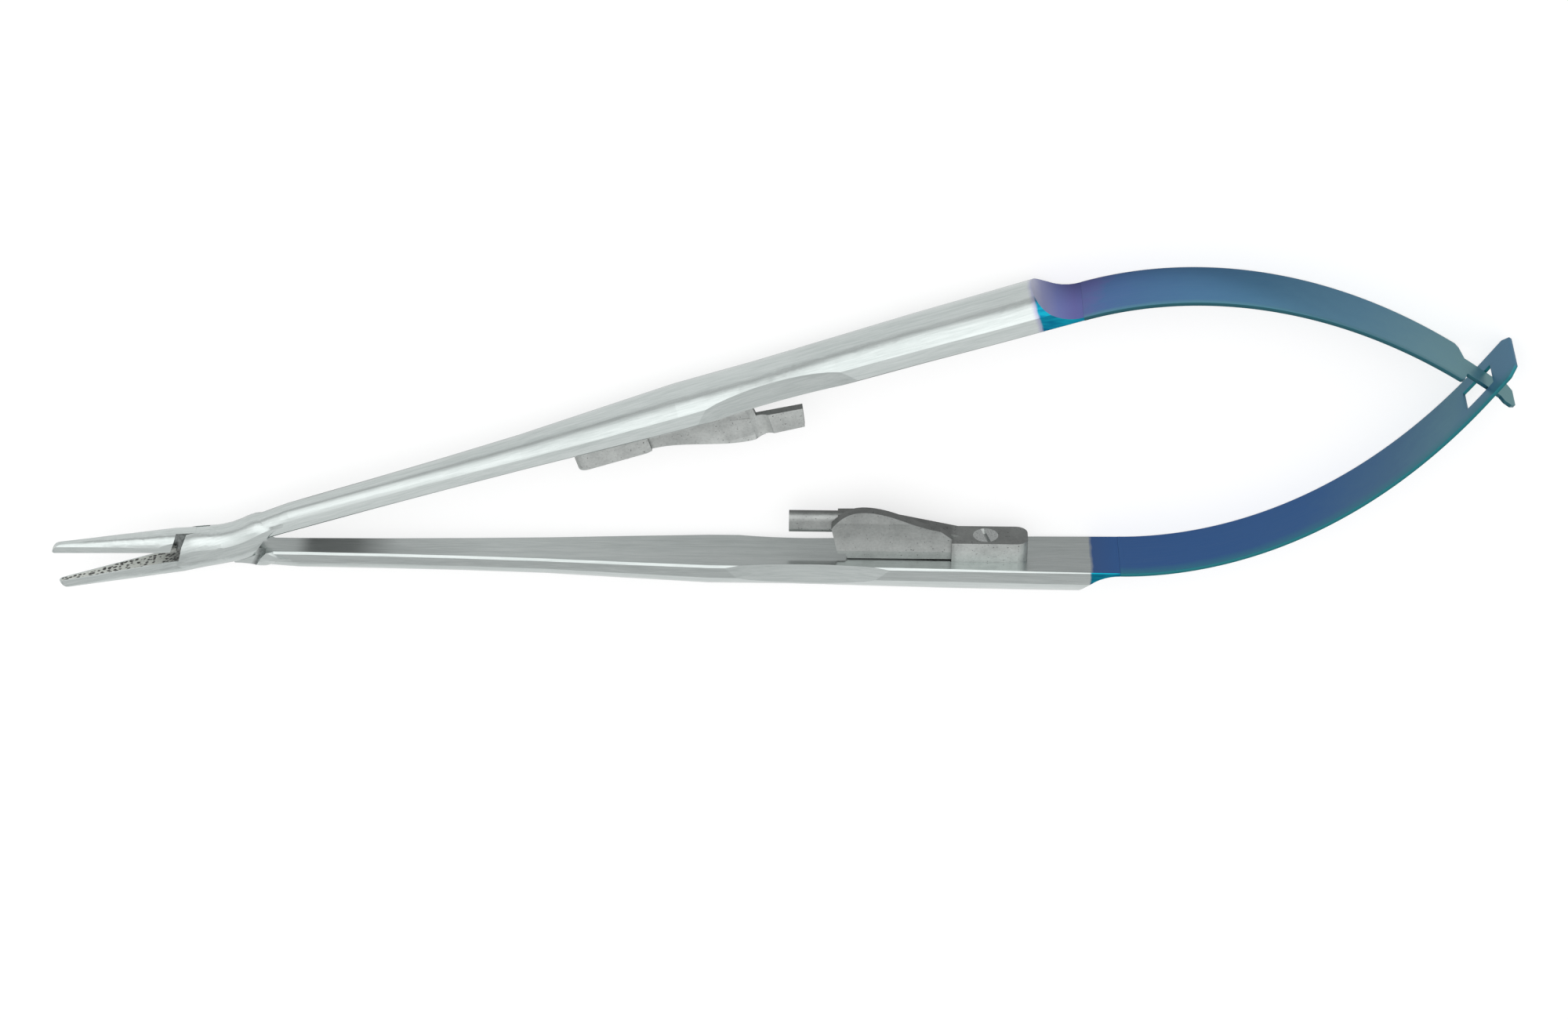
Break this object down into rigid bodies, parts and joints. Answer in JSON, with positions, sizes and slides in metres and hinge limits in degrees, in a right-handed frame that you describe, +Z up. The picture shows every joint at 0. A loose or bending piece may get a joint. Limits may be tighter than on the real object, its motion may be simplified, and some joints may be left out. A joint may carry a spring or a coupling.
{
  "type": "micro needle holder",
  "caption": "Spring-handled micro needle holder with a box lock, straight jaws with hard inserts, a latch between the handles and crossing leaf springs.",
  "frame": {"origin": "middle of the open tool's bounding box, on the surface it lies on", "axes": "+X from the jaws to the spring end, +Y towards the handle that carries the near-side latch nose, +Z up along the pivot pin"},
  "size_m": [0.1804, 0.0432, 0.0086],
  "materials": {
    "satin_steel": "satin brushed stainless steel",
    "pin_steel": "satin stainless steel, riveted flush",
    "carbide": "fine granular carbide",
    "latch_steel": "matte cast and filed steel",
    "screw_steel": "turned steel",
    "blued_spring": "heat-coloured spring steel, blue to teal"
  },
  "bodies": {
    "female_half": {"female_half": "satin_steel", "pivot_pin": "pin_steel", "lower_jaw_insert": "carbide", "upper_catch": "latch_steel", "upper_catch_screw": "screw_steel"},
    "male_half": {"male_half": "satin_steel", "upper_jaw_insert": "carbide", "lower_catch": "latch_steel", "lower_catch_screw": "screw_steel"},
    "upper_leaf": {"upper_leaf_spring": "blued_spring"},
    "lower_leaf": {"lower_leaf_spring": "blued_spring"}
  },
  "joints": [
    {"name": "jaw_pivot", "type": "hinge", "parent": "female_half", "child": "male_half", "pos_m": [-0.06926, 0, 0.0043], "axis": [0, 0, 1], "range_deg": [0, 11.4], "stiffness_Nm_per_rad": 2},
    {"name": "upper_leaf_flex", "type": "hinge", "parent": "female_half", "child": "upper_leaf", "pos_m": [0.03957, 0.01855, 0.0043], "axis": [0, 0, 1], "range_deg": [0, 18.6]},
    {"name": "lower_leaf_flex", "type": "hinge", "parent": "male_half", "child": "lower_leaf", "pos_m": [0.03957, -0.01855, 0.0043], "axis": [0, 0, 1], "range_deg": [-18.6, 0]}
  ],
  "couplings": [
    {"joint": "upper_leaf_flex", "follows": "jaw_pivot", "ratio": 1.63},
    {"joint": "lower_leaf_flex", "follows": "jaw_pivot", "ratio": -1.63}
  ]
}
